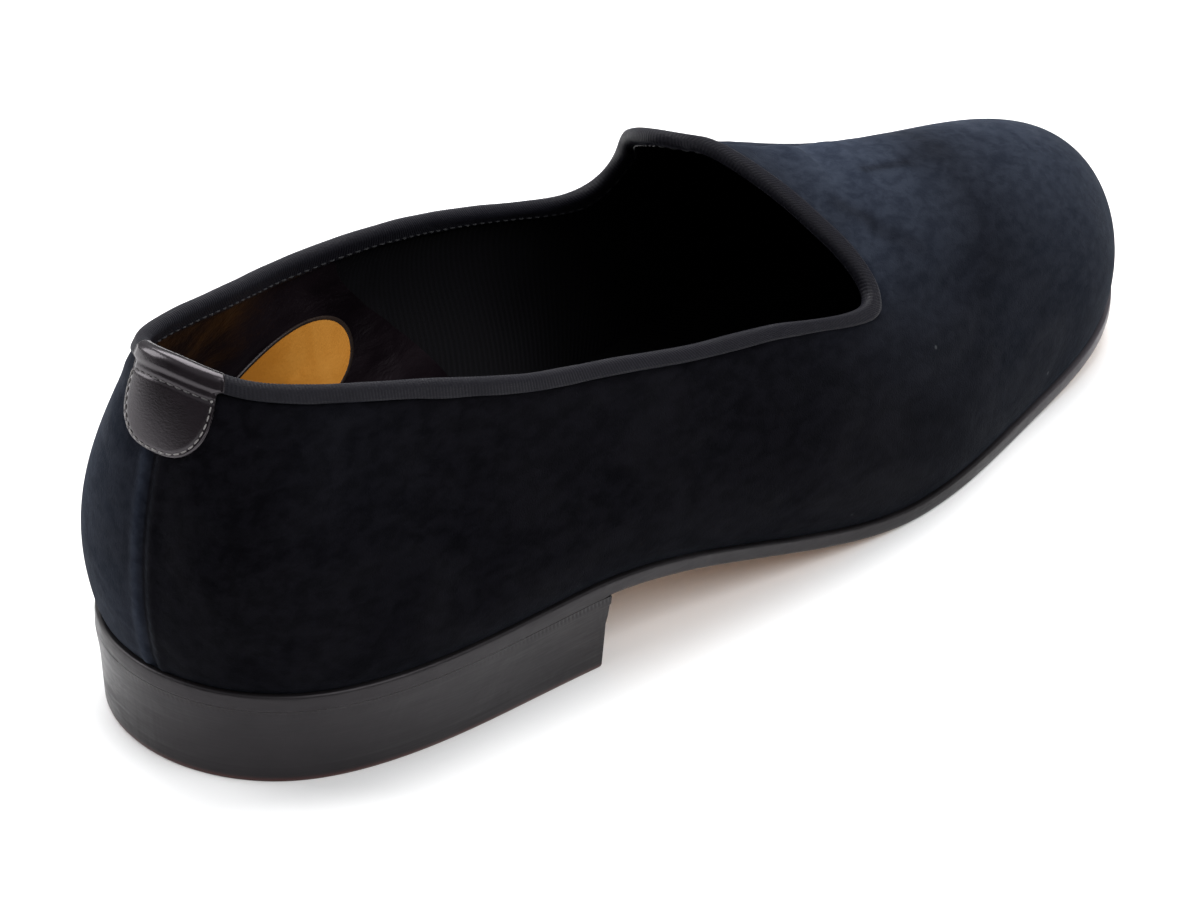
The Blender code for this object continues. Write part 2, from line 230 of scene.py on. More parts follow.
def rim(around, proud, rise):
    """Points near the cut topline, at rise above it or below it, measured square to it."""
    edge = shell(around, 1.0, proud)
    climb = (edge - shell(around, 1.0 - STEP, proud)) / STEP
    along = shell(around + STEP, 1.0, proud) - shell(around - STEP, 1.0, proud)
    length = np.linalg.norm(climb, axis=1)
    product = length * np.linalg.norm(along, axis=1)
    slant = np.linalg.norm(np.cross(climb, along), axis=1) / product
    rise = np.broadcast_to(np.asarray(rise, float), around.shape) / np.maximum(slant, 0.5)
    above = edge + climb / length[:, None] * np.maximum(rise, 0)[:, None]
    below = shell(around, 1 + np.minimum(rise, 0) / length, proud)
    return np.where((rise > 0)[:, None], above, below)


def foot_line(around, margin, height=0.0):
    """Points outside the feather line by a margin, raised over the seat along the wall's lean."""
    c, feather, _ = sections_at(around)
    ahead = sections_at(around + STEP)[1]
    behind = sections_at(around - STEP)[1]
    out = outward(ahead - behind)[:, :2]
    plan = feather + out * (margin + height * np.tan(np.radians(c["lean"])))[:, None]
    return np.column_stack([plan, seat(plan[:, 0]) + height])


def run_along(points):
    """Distance run along a line at each of its points."""
    return np.append(0, np.cumsum(np.linalg.norm(np.diff(points, axis=0), axis=1)))


def topline_run():
    """Places all round the topline and the distance run at each, from the back."""
    around = np.linspace(0, ROWS, 3601)
    return around, run_along(skin(around, np.ones(len(around))))


TOP_PLACES, TOP_RUN = topline_run()
TOP_LENGTH = TOP_RUN[-1]


def top_place(distance):
    """Place at which the topline has run that far from the back; negative is the medial way."""
    if np.min(distance) >= 0:
        return np.interp(distance, TOP_RUN, TOP_PLACES)
    twice_run = np.append(TOP_RUN, TOP_RUN[1:] + TOP_LENGTH)
    twice_places = np.append(TOP_PLACES, TOP_PLACES[1:] + ROWS)
    return np.interp(np.asarray(distance) + TOP_LENGTH, twice_run, twice_places) - ROWS


# The solids stand with their box's middle over the origin.
HALF_IN_MM = 500  # half a sum of metres, in millimetres
low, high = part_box("outsole")
edge = foot_line(np.linspace(0, ROWS, 2161), SOLE_MARGIN)
ORIGIN = np.array([
    (edge[:, 0].min() + edge[:, 0].max()) / 2 - (low[0] + high[0]) * HALF_IN_MM,
    (edge[:, 1].min() + edge[:, 1].max()) / 2 - (low[1] + high[1]) * HALF_IN_MM,
    0.0,
])


# Meshes


def placed(name, data):
    """New object in the scene."""
    made = bpy.data.objects.new(name, data)
    bpy.context.collection.objects.link(made)
    return made


def mesh_piece(name, points, faces, materials, kinds=None, uv=None, sharp=None):
    """Object from a grid or list of points in millimetres, riding on the root. Kinds is each
    face's material, and uv each point's place on the run map."""
    mesh = bpy.data.meshes.new(name)
    mesh.from_pydata((points.reshape(-1, 3) - ORIGIN) * MM, [], faces.tolist())
    for one in materials:
        mesh.materials.append(one)
    if kinds is not None:
        mesh.polygons.foreach_set("material_index", np.asarray(kinds, np.int32))
    if uv is not None:
        corners = np.empty(len(mesh.loops), np.int32)
        mesh.loops.foreach_get("vertex_index", corners)
        layer = mesh.uv_layers.new(name="run")
        layer.data.foreach_set("uv", (uv[corners] * MM).ravel())
    mesh.shade_smooth()
    if sharp:
        mesh.set_sharp_from_angle(angle=math.radians(sharp))
    mesh.validate()
    piece = placed(name, mesh)
    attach(piece, "root")
    return piece


def grid_faces(across, down, loop_across=False, loop_down=False, flip=False, first=0):
    """Quads of a grid of points kept across by across."""
    i = np.arange(across if loop_across else across - 1)
    j = np.arange(down if loop_down else down - 1)
    i, j = [g.ravel() for g in np.meshgrid(i, j, indexing="ij")]
    k = (i + 1) % across
    m = (j + 1) % down
    quads = np.stack([i * down + j, k * down + j, k * down + m, i * down + m], 1) + first
    return quads[:, ::-1] if flip else quads


def bell(distance, width):
    """1 at no distance, falling smoothly to almost nothing at twice the width."""
    return np.exp(-((distance / width) ** 2))


def ease(value, start, stop):
    """Smooth step from 0 at start to 1 at stop."""
    t = np.clip((value - start) / (stop - start), 0, 1)
    return t * t * (3 - 2 * t)


# Materials


def node(tree, kind, inputs=None, **settings):
    """New shader node. Each input is a value, or a socket to link from."""
    made = tree.nodes.new("ShaderNode" + kind)
    for key, value in settings.items():
        setattr(made, key, value)
    for key, value in (inputs or {}).items():
        if isinstance(value, bpy.types.NodeSocket):
            tree.links.new(value, made.inputs[key])
        else:
            made.inputs[key].default_value = value
    return made


def coordinates(tree, stretch=(1, 1, 1), kind="Object"):
    where = node(tree, "TexCoord").outputs[kind]
    return node(tree, "Mapping", {"Vector": where, "Scale": stretch}).outputs["Vector"]


def noise(tree, where, scale, detail=2.0, rough=0.5, twist=0.0):
    inputs = {"Vector": where, "Scale": scale, "Detail": detail, "Roughness": rough}
    return node(tree, "TexNoise", {**inputs, "Distortion": twist}).outputs["Fac"]


def cells(tree, where, scale):
    return node(tree, "TexVoronoi", {"Vector": where, "Scale": scale}).outputs["Distance"]


def maths(tree, operation, a, b):
    return node(tree, "Math", {0: a, 1: b}, operation=operation).outputs[0]


def ranged(tree, value, low, high, to_low=0.0, to_high=1.0):
    """Value brought smoothly from one range into another."""
    ends = {"From Min": low, "From Max": high, "To Min": to_low, "To Max": to_high}
    made = node(tree, "MapRange", {"Value": value, **ends}, interpolation_type="SMOOTHSTEP")
    return made.outputs["Result"]


def mixed(tree, share, a, b):
    """Colour between a and b, each a colour or a socket."""
    made = node(tree, "Mix", {"Factor": share}, data_type="RGBA")
    for socket, value in ((made.inputs[6], a), (made.inputs[7], b)):
        if isinstance(value, bpy.types.NodeSocket):
            tree.links.new(value, socket)
        else:
            socket.default_value = (*value, 1)
    return made.outputs[2]


def bumped(tree, steps):
    """Normal from (height, depth in metres) steps."""
    normal = None
    for height, depth in steps:
        inputs = {"Height": height, "Distance": depth, "Strength": 1.0}
        if normal:
            inputs["Normal"] = normal
        normal = node(tree, "Bump", inputs).outputs["Normal"]
    return normal


def material(name, **fixed):
    """New material, its tree and its shader, with the shader's fixed values set."""
    made = bpy.data.materials.new(name)
    made.use_nodes = True
    shader = made.node_tree.nodes["Principled BSDF"]
    for key, value in fixed.items():
        key = key.replace("_", " ")
        key = "Specular IOR Level" if key == "Specular" else key
        shader.inputs[key].default_value = (*value, 1) if isinstance(value, tuple) else value
    return made, made.node_tree, shader


def dress(tree, shader, colour, roughness, steps):
    """Link what varies over a surface to its shader."""
    tree.links.new(colour, shader.inputs["Base Color"])
    tree.links.new(roughness, shader.inputs["Roughness"])
    tree.links.new(bumped(tree, steps), shader.inputs["Normal"])


def velvet():
    """Short pile, near black, with painted sheen: lighter and bluer where the mesh's painted_sheen
    attribute is high.
    """
    made, tree, shader = material(
        "velvet",
        Sheen_Weight=0.045, Sheen_Roughness=0.38, Sheen_Tint=(0.50, 0.62, 0.84), Specular=0.03,
    )
    here = coordinates(tree)
    brushed = coordinates(tree, (0.55, 1.0, 1.0))
    marks = noise(tree, brushed, 60, 4, 0.6, 0.8)
    fine = noise(tree, brushed, 420, 3, 0.6, 0.3)
    pile = noise(tree, here, 2600, 2, 0.6)
    painted_sheen = node(tree, "Attribute", attribute_name="painted_sheen").outputs["Fac"]
    broad = maths(tree, "MULTIPLY", ranged(tree, marks, 0.35, 0.68), 0.28)
    share = maths(tree, "ADD", broad, maths(tree, "MULTIPLY", ranged(tree, fine, 0.34, 0.66), 0.72))
    dark = mixed(tree, share, (0.0008, 0.0007, 0.0013), (0.0028, 0.0026, 0.0040))
    # Lit copy of the velvet's colour: painted sheen, where grazing light lies on the pile.
    painted_sheen_colour = mixed(tree, share, (0.0155, 0.0200, 0.0320), (0.0310, 0.0385, 0.0560))
    specks = ranged(tree, cells(tree, here, 130), 0.075, 0.03)
    lint = maths(tree, "MULTIPLY", specks, ranged(tree, noise(tree, here, 70), 0.60, 0.66))
    lint = maths(tree, "MULTIPLY", lint, 0.30)
    cloth = mixed(tree, lint, mixed(tree, painted_sheen, dark, painted_sheen_colour), (0.16, 0.17, 0.18))
    roughness = ranged(tree, marks, 0.3, 0.7, 0.95, 0.72)
    dress(tree, shader, cloth, roughness, ((marks, 0.0003), (fine, 0.00012), (pile, 0.00010)))
    return made


RIB_PITCH = 0.76  # of the tape's ribs, along the topline


def ribbed_tape():
    """Ribs are in the mesh, with painted shade in the grooves between them. The run map gives the
    weft's fine threads between them.
    """
    made, tree, shader = material(
        "ribbed_tape",
        Sheen_Weight=0.03, Sheen_Roughness=0.45, Sheen_Tint=(0.7, 0.72, 0.9), Specular=0.12,
    )
    run = coordinates(tree, (1, 1, 1), "UV")
    bands = 1000 / RIB_PITCH / 20 * math.tau  # a wave texture has 20 / tau bands to its scale
    waves = {"Vector": run, "Scale": bands, "Phase Offset": math.pi}
    painted_rib_shade = node(tree, "TexWave", waves, bands_direction="X").outputs["Fac"]
    weft = noise(tree, coordinates(tree, (1.0, 5.0, 1.0), "UV"), 900, 2, 0.6)
    wear = noise(tree, coordinates(tree), 90, 3, 0.6)
    # Painted shade: the colour is darker in the grooves between the ribs, varied by wear.
    share = maths(tree, "MULTIPLY", painted_rib_shade, ranged(tree, wear, 0.3, 0.7, 0.5, 1.0))
    colour = mixed(tree, share, (0.0038, 0.0036, 0.0060), (0.0068, 0.0064, 0.0098))
    roughness = ranged(tree, wear, 0.3, 0.7, 0.62, 0.45)
    dress(tree, shader, colour, roughness, ((weft, 0.00012), (wear, 0.0003)))
    return made


def leather(
    name, dark, light, gloss,
    grain=0.00005, scale=1500, coat=0.0, stretch=(1, 1, 1), wrinkle=0.0, shine=0.5,
):
    """Fine-grained leather. Gloss is its lowest and highest roughness, scale is of its pores,
    and grain and wrinkle are depths in metres."""
    made, tree, shader = material(
        name,
        Coat_Weight=coat, Coat_Roughness=0.16, Specular=shine, Specular_Tint=(1.0, 0.92, 0.99),
    )
    here = coordinates(tree)
    cloud = noise(tree, coordinates(tree, stretch), 55, 4, 0.6, 0.4)
    pores = cells(tree, here, scale)
    fine = noise(tree, here, scale * 1.7, 2, 0.6)
    steps = [(pores, grain), (fine, grain * 0.6)]
    if wrinkle:
        steps.insert(0, (noise(tree, coordinates(tree, stretch), 120, 4, 0.65, 1.2), wrinkle))
    colour = mixed(tree, ranged(tree, cloud, 0.3, 0.7), dark, light)
    dress(tree, shader, colour, ranged(tree, cloud, 0.3, 0.7, *gloss), steps)
    return made


def weave():
    """Dark twill that lines the vamp."""
    made, tree, shader = material("vamp_lining", Specular=0.12)
    run = coordinates(tree, (1, 1, 1), "UV")
    waves = {"Vector": run, "Scale": 330, "Distortion": 0.6, "Detail": 1.0}
    twill = node(tree, "TexWave", waves, bands_direction="DIAGONAL").outputs["Fac"]
    cloud = noise(tree, coordinates(tree), 60, 3)
    colour = mixed(tree, twill, (0.0008, 0.0007, 0.0013), (0.0018, 0.0016, 0.0027))
    roughness = ranged(tree, cloud, 0.3, 0.7, 0.92, 0.75)
    dress(tree, shader, colour, roughness, ((twill, 0.0001),))
    return made


def edge_leather(name, rim_height):
    """Ink-dark, wax-burnished edge leather with the faint lines of its layers. Below rim_height,
    in metres, it shows the brown of a worn bottom edge; towards the toe a painted highlight makes
    it lighter grey."""
    made, tree, shader = material(
        name,
        Specular=0.27, Specular_Tint=(1.0, 0.93, 1.0), Coat_Weight=0.05, Coat_Roughness=0.25,
    )
    layers = noise(tree, coordinates(tree, (0.05, 0.05, 1.0)), 900, 3, 0.6)
    cloud = noise(tree, coordinates(tree), 45, 4, 0.6, 0.5)
    scuff = noise(tree, coordinates(tree, (0.3, 0.3, 1.5)), 240, 3, 0.7, 0.8)
    place = node(tree, "SeparateXYZ", {0: node(tree, "TexCoord").outputs["Object"]}).outputs
    share = ranged(tree, cloud, 0.3, 0.7)
    black = mixed(tree, share, (0.0045, 0.0040, 0.0045), (0.0095, 0.0085, 0.0092))
    # Painted highlight: the edge turns lighter grey towards the toe.
    black = mixed(tree, ranged(tree, place["X"], 0.05, 0.14), black, (0.060, 0.054, 0.062))
    worn = ranged(tree, place["Z"], rim_height, rim_height * 0.2)
    colour = mixed(tree, worn, black, (0.055, 0.014, 0.010))
    roughness = ranged(tree, scuff, 0.3, 0.75, 0.34, 0.50)
    steps = ((layers, 0.00008), (cloud, 0.0004), (scuff, 0.00004))
    dress(tree, shader, colour, roughness, steps)
    return made


def sole_leather():
    """Tan underside, inked to black over the edge. The run map's second way is the distance in."""
    made, tree, shader = material("sole_leather", Specular=0.4)
    here = coordinates(tree)
    inward = node(tree, "SeparateXYZ", {0: node(tree, "TexCoord").outputs["UV"]}).outputs["Y"]
    wobble = maths(tree, "MULTIPLY", noise(tree, here, 160, 3), 0.0012)
    ink = ranged(tree, maths(tree, "ADD", inward, wobble), 0.0016, 0.0009)
    cloud = noise(tree, coordinates(tree, (0.5, 1, 1)), 40, 5, 0.6, 0.4)
    fibre = noise(tree, here, 1400, 3, 0.65)
    scratch = ranged(tree, noise(tree, coordinates(tree, (0.12, 1.6, 1)), 260, 3, 0.6), 0.58, 0.72)
    tan = mixed(tree, ranged(tree, cloud, 0.3, 0.7), (0.36, 0.185, 0.078), (0.50, 0.290, 0.145))
    tan = mixed(tree, maths(tree, "MULTIPLY", scratch, 0.25), tan, (0.20, 0.11, 0.055))
    colour = mixed(tree, ink, tan, (0.0075, 0.0068, 0.0075))
    roughness = maths(tree, "SUBTRACT", 0.58, maths(tree, "MULTIPLY", ink, 0.26))
    dress(tree, shader, colour, roughness, ((cloud, 0.0004), (fibre, 0.00006)))
    return made


def thread(name, colour):
    """Twisted thread, with painted shade darker between its strands."""
    made, tree, shader = material(name, Specular=0.35, Sheen_Weight=0.2)
    twist = noise(tree, coordinates(tree), 3500, 2)
    painted_strand_shade = mixed(tree, twist, tuple(0.6 * c for c in colour), colour)
    dress(tree, shader, painted_strand_shade, ranged(tree, twist, 0.3, 0.7, 0.5, 0.7), ((twist, 0.00008),))
    return made


VELVET = velvet()
TAPE = ribbed_tape()
TAB_LEATHER = leather(
    "tab_leather", (0.0024, 0.0015, 0.0021), (0.0048, 0.0033, 0.0044), (0.20, 0.27),
    grain=0.00001, scale=2400, coat=0.05,
)
LINING = leather(
    "lining_leather", (0.0030, 0.0018, 0.0027), (0.0080, 0.0050, 0.0068), (0.30, 0.46),
    grain=0.00003, scale=1600, stretch=(0.5, 1, 1.4), wrinkle=0.0004, shine=0.22,
)
SOCK = leather(
    "sock_leather", (0.0040, 0.0026, 0.0034), (0.0095, 0.0065, 0.0080), (0.50, 0.66),
    grain=0.00003, scale=1600, stretch=(0.6, 1, 1), wrinkle=0.0002, shine=0.14,
)
WEAVE = weave()
LABEL = leather(
    "label_leather", (0.56, 0.210, 0.022), (0.68, 0.290, 0.040), (0.42, 0.58), grain=0.00003
)
LABEL_RIM = leather("label_rim", (0.010, 0.007, 0.006), (0.030, 0.018, 0.012), (0.4, 0.5))
HEEL_LEATHER = edge_leather("heel_leather", 0.0014)
EDGE_LEATHER = edge_leather("sole_edge", 0.00001)
SOLE_LEATHER = sole_leather()
PALE_THREAD = thread("pale_thread", (0.21, 0.20, 0.195))
GREY_THREAD = thread("grey_thread", (0.075, 0.070, 0.072))
DARK_THREAD = thread("dark_thread", (0.020, 0.021, 0.026))


# Spots on the upper are given by place, on the loop of sections, and up, from the feather line.
# Creases of the velvet, as soft troughs: place, up, to_place, to_up, width, depth.
CREASES = {
    "tongue_root": (7.6, 0.86, 9.9, 0.80, 5.0, 0.9),
    "vamp_medial": (10.9, 0.78, 9.3, 0.66, 4.5, 0.7),
    "vamp_lateral": (6.9, 0.80, 7.6, 0.62, 4.5, 0.55),
    "ball_lateral": (6.1, 0.62, 6.7, 0.42, 6.0, 0.45),
    "ball_medial": (12.0, 0.66, 11.2, 0.45, 6.0, 0.5),
    "quarter_lateral": (4.3, 0.70, 4.9, 0.35, 7.0, 0.35),
    "quarter_medial": (14.3, 0.72, 13.7, 0.40, 7.0, 0.4),
    "heel_lateral": (1.7, 0.45, 2.6, 0.20, 6.0, 0.3),
}
# Soft swells: place, up, reach, height.
SWELLS = {
    "behind_tongue": (10.1, 0.82, 18.0, -1.3),
    "toe_crown": (9.2, 0.45, 26.0, 0.5),
}
# Painted sheen, lighter and bluer where grazing light lies on the pile: place, up, reach, share.
PAINTED_SHEEN_SPOTS = {
    "medial_back": (16.9, 0.55, 30.0, 0.42),
    "medial_back_low": (17.5, 0.15, 24.0, 0.30),
    "vamp_top": (9.0, 0.80, 32.0, 1.0),
    "vamp_corner": (7.5, 0.90, 15.0, 0.6),
    "toe_top": (9.4, 0.42, 42.0, 0.85),
    "toe_medial": (10.8, 0.40, 36.0, 0.85),
    "toe_tip": (8.8, 0.16, 28.0, 0.6),
    "lateral_vamp": (7.4, 0.50, 22.0, 0.18),
}
# Streaks where a finger brushed the pile back, which take painted sheen away: place, up, to_place,
# to_up, width, share.
STROKES = {
    "behind_tongue": (8.25, 0.80, 8.38, 0.71, 1.1, 0.55),
    "vamp_top": (8.40, 0.70, 8.56, 0.63, 3.2, 0.35),
    "corner": (7.78, 0.90, 7.70, 0.85, 2.0, 0.45),
    "corner_low": (7.62, 0.86, 7.50, 0.78, 2.2, 0.35),
}
BACK_SEAM_WIDTH = 1.0
UPPER_COLUMNS = 1080
UPPER_LEVELS = 76
LEVEL_CROWDING = 0.35  # how far its levels crowd towards the feather line and the topline
PLACE_RUN = 40  # millimetres from one section to the next, about


def from_line(points, place, up, to_place, to_up):
    """How far each point is from a line over the upper, and the share along it that is nearest."""
    share = np.linspace(0, 1, 40)
    line = shell(place + (to_place - place) * share, up + (to_up - up) * share)
    near = np.full(len(points), 1e9)
    at = np.zeros(len(points))
    for point, t in zip(line, share):
        gap = np.linalg.norm(points - point, axis=1)
        at = np.where(gap < near, t, at)
        near = np.minimum(near, gap)
    return near, at


def trough(points, row):
    """Soft trough between two places, deepest halfway, with a low ridge to each side."""
    *ends, width, depth = row
    near, at = from_line(points, *ends)
    fade = np.sin(np.pi * np.clip(at * 0.9 + 0.05, 0, 1)) ** 0.8
    return depth * fade * (0.55 * bell(near - 1.5 * width, width * 0.8) - bell(near, width * 0.7))


def blob(points, place, up, reach):
    """Round soft spot on the upper."""
    centre = shell(np.array([place]), up)[0]
    return bell(np.linalg.norm(points - centre, axis=1), reach)


def velvet_lift(points, from_rim, from_foot, seam, below_tab):
    """How far the velvet stands over the skin: creases, swells, pressed edges and back seam."""
    lift = np.zeros(len(points))
    for row in CREASES.values():
        lift += trough(points, row)
    for *spot, height in SWELLS.values():
        lift += height * blob(points, *spot)
    lift *= ease(from_rim, BINDING_DROP - 1, BINDING_DROP + 6) * ease(from_foot, 1, 9)
    pressed = 1 - ease(from_rim, BINDING_DROP - 0.6, BINDING_DROP + 1.4)
    lift += 0.35 * bell(from_rim - BINDING_DROP - 3.2, 2.6) - 0.25 * pressed
    lift -= 0.25 * bell(from_foot, 1.2)
    lift -= 0.40 * bell(seam, BACK_SEAM_WIDTH) * below_tab
    lift += 0.32 * bell(seam - 2.1, 1.1) * below_tab
    lift += 0.10 * np.sin(from_foot * 2.1) * bell(seam - 1.4, 0.8) * below_tab
    return lift


def velvet_painted_sheen(points, from_back, from_seam, below_tab):
    """Share of painted sheen: the spots, less the strokes. On the lateral side of the heel it fades
    out towards the back seam, leaving that side dark.
    """
    painted_sheen = np.zeros(len(points))
    for *spot, share in PAINTED_SHEEN_SPOTS.values():
        painted_sheen = np.maximum(painted_sheen, share * blob(points, *spot))
    for *ends, width, share in STROKES.values():
        painted_sheen *= 1 - share * bell(from_line(points, *ends)[0], width)
    lateral_back = (from_back >= 0) & (from_back < 4)
    painted_sheen = np.where(lateral_back, painted_sheen * ease(from_seam, 18, 60), painted_sheen)
    # Painted highlight in a thin line beside the back seam, on the medial quarter below the tab.
    return painted_sheen + 0.30 * bell(from_seam + 1.9, 1.0) * below_tab


def make_upper():
    """Velvet outside, tucked under the tape above and under the feather line below."""
    around = np.linspace(0, ROWS, UPPER_COLUMNS, endpoint=False)
    crowded = (1 - np.cos(np.linspace(0.0, math.pi, UPPER_LEVELS))) / 2
    even = np.linspace(0, 1, UPPER_LEVELS)
    place = np.repeat(around, UPPER_LEVELS)
    up = np.tile(crowded * LEVEL_CROWDING + even * (1 - LEVEL_CROWDING), UPPER_COLUMNS)
    bare = skin(place, up)
    steps = np.linalg.norm(np.diff(bare.reshape(UPPER_COLUMNS, UPPER_LEVELS, 3), axis=1), axis=2)
    climb = np.concatenate([np.zeros((UPPER_COLUMNS, 1)), np.cumsum(steps, 1)], 1)
    from_foot = climb.ravel()
    from_rim = (climb[:, -1:] - climb).ravel()
    from_back = (place + ROWS / 2) % ROWS - ROWS / 2
    near = skin(place + STEP, up) - skin(place - STEP, up)
    from_seam = from_back * (np.linalg.norm(near, axis=1) / (2 * STEP))
    below_tab = ease(from_rim, TAB_DROP - 3, TAB_DROP)
    lift = velvet_lift(bare, from_rim, from_foot, abs(from_seam), below_tab)
    points = bare + skin_normal(place, up) * lift[:, None]
    painted_sheen = velvet_painted_sheen(bare, from_back, from_seam, below_tab)
    uv = np.column_stack([place * PLACE_RUN, from_foot])

    grid = points.reshape(UPPER_COLUMNS, UPPER_LEVELS, 3)
    under = [foot_line(around, margin) + (0, 0, -0.32) for margin in (-4.0, -0.6)]
    over = rim(around, -1.0, 0.05)[:, None]
    grid = np.concatenate([np.stack(under, 1), grid, over], 1)
    tucks = (0, 0), (2, 1)
    painted_sheen = np.pad(painted_sheen.reshape(UPPER_COLUMNS, UPPER_LEVELS), tucks, mode="edge").ravel()
    uv = np.pad(uv.reshape(UPPER_COLUMNS, UPPER_LEVELS, 2), (*tucks, (0, 0)), mode="edge")
    faces = grid_faces(UPPER_COLUMNS, grid.shape[1], True)
    piece = mesh_piece("velvet_upper", grid, faces, [VELVET], uv=uv.reshape(-1, 2))
    layer = piece.data.attributes.new("painted_sheen", "FLOAT", "POINT")
    layer.data.foreach_set("value", painted_sheen.astype(np.float32))
    return piece


WEAVE_FROM = 101  # distance from the heel at which the lining turns from leather to twill
SOCK_WEAVE_FROM = 150


def make_lining():
    """Inside of the upper: wrinkled leather round the quarters, twill in the vamp."""
    columns, levels = 600, 44
    around = np.linspace(0, ROWS, columns, endpoint=False)
    place = np.repeat(around, levels)
    up = np.tile(np.linspace(0, 1, levels), columns)
    points = shell(place, up, -WALL)
    x, z = points[:, 0], points[:, 2]
    ripple = np.sin(z * 0.55 + 1.7 * np.sin(x * 0.09) + 0.8 * np.sin(x * 0.23 + 1))
    ripple += 0.6 * np.sin(x * 0.5 + z * 0.3)
    fade = np.sin(np.pi * np.clip(up, 0, 1)) * (1 - ease(x, WEAVE_FROM - 5, WEAVE_FROM + 3))
    lift = 0.22 * ripple * fade - 0.21 * bell(x - WEAVE_FROM, 1.2)
    points = points + skin_normal(place, up) * lift[:, None]
    grid = points.reshape(columns, levels, 3)
    lean = np.radians(sections_at(around)[0]["lean"])
    grid[:, 0] = foot_line(around, -WALL / np.cos(lean)) + (0, 0, 0.1)
    halfway = grid[:, levels // 2]
    kinds = np.repeat(halfway[:, 0] > WEAVE_FROM, levels - 1)
    uv = np.column_stack([np.repeat(run_along(halfway), levels), up * 60])
    faces = grid_faces(columns, levels, True, flip=True)
    return mesh_piece("lining", grid, faces, [LINING, WEAVE], kinds, uv)


def tape_loop():
    """Section of the tape folded over the rim, as proud and rise, outer foot to inner foot."""
    far = GAP + BINDING_THICKNESS
    half = WALL / 2 + far
    legs = np.linspace(0, 1, 5)
    outer = [(far, -BINDING_DROP + (BINDING_DROP - FOLD_DROP) * t) for t in legs]
    turn = [
        (-WALL / 2 + half * math.cos(a), -FOLD_DROP + (FOLD_DROP + far) * math.sin(a))
        for a in np.linspace(0, math.pi, 11)[1:-1]
    ]
    inner = [(-WALL - far, -FOLD_DROP - (BINDING_TURN_IN - FOLD_DROP) * t) for t in legs]
    return np.array(outer + turn + inner)


RIB_HEIGHT = 0.035
RIB_STEPS = 6  # columns of points to a rib


def make_binding():
    """Ribbed tape over the topline, each rib square to the edge."""
    start = TAB_WIDTH / 2 + 0.15
    run = np.arange(start, TOP_LENGTH - start, RIB_PITCH / RIB_STEPS)
    around = top_place(run)
    loop = tape_loop()
    way = np.gradient(loop, axis=0)
    facing = unit(np.column_stack([way[:, 1], -way[:, 0]]))
    height = RIB_HEIGHT * np.cos(run / RIB_PITCH * math.tau)
    height = height + 0.05 * np.sin(run * 0.31) * np.sin(run * 0.083)
    edge_sway = 0.12 * np.sin(run * 0.17 + 1) + 0.08 * np.sin(run * 0.41)
    last = len(loop) - 1
    columns = []
    for k, (proud, rise) in enumerate(loop):
        at_edge = k in (0, last)
        out = height * (0.35 if at_edge else 1.0)
        sway = edge_sway if at_edge else 0.0
        columns.append(rim(around, proud + facing[k, 0] * out, rise + facing[k, 1] * out + sway))
    outer_edge = rim(around, 0.0, -BINDING_DROP - 0.15)
    inner_edge = rim(around, -WALL, -BINDING_TURN_IN - 0.15)
    grid = np.stack([outer_edge, *columns, inner_edge], 1)
    across = [-BINDING_DROP, *(run_along(loop) - BINDING_DROP), loop[-1, 1]]
    uv = np.column_stack([np.repeat(run, grid.shape[1]), np.tile(across, len(run))])
    faces = grid_faces(len(run), grid.shape[1])
    return mesh_piece("topline_tape", grid, faces, [TAPE], uv=uv)


TAB_STITCH_INSET = 0.6
TAB_FLARE = 1.16  # of its rolled top past its sides
TAB_ROW_DROP = 4.5  # of the row of stitches under the rolled top
TAB_BULGE = 0.22  # of its rolled top past its flat part
TAB_EDGE = 0.45  # over which its edge is rounded


def tab_drop(share):
    """Depth of the tab's lower edge, at a share of its half width to either side."""
    rounded = np.sqrt(np.maximum(1 - np.abs(share) ** TAB_SQUARENESS, 0))
    return BINDING_DROP + (TAB_DROP - BINDING_DROP) * rounded


def edge_crown(near):
    """Rise of the tab's rounded edge from 0, as a quarter circle, to 1."""
    return np.sqrt(np.clip(1 - (1 - np.clip(near / TAB_EDGE, 0, 1)) ** 2, 0, 1))


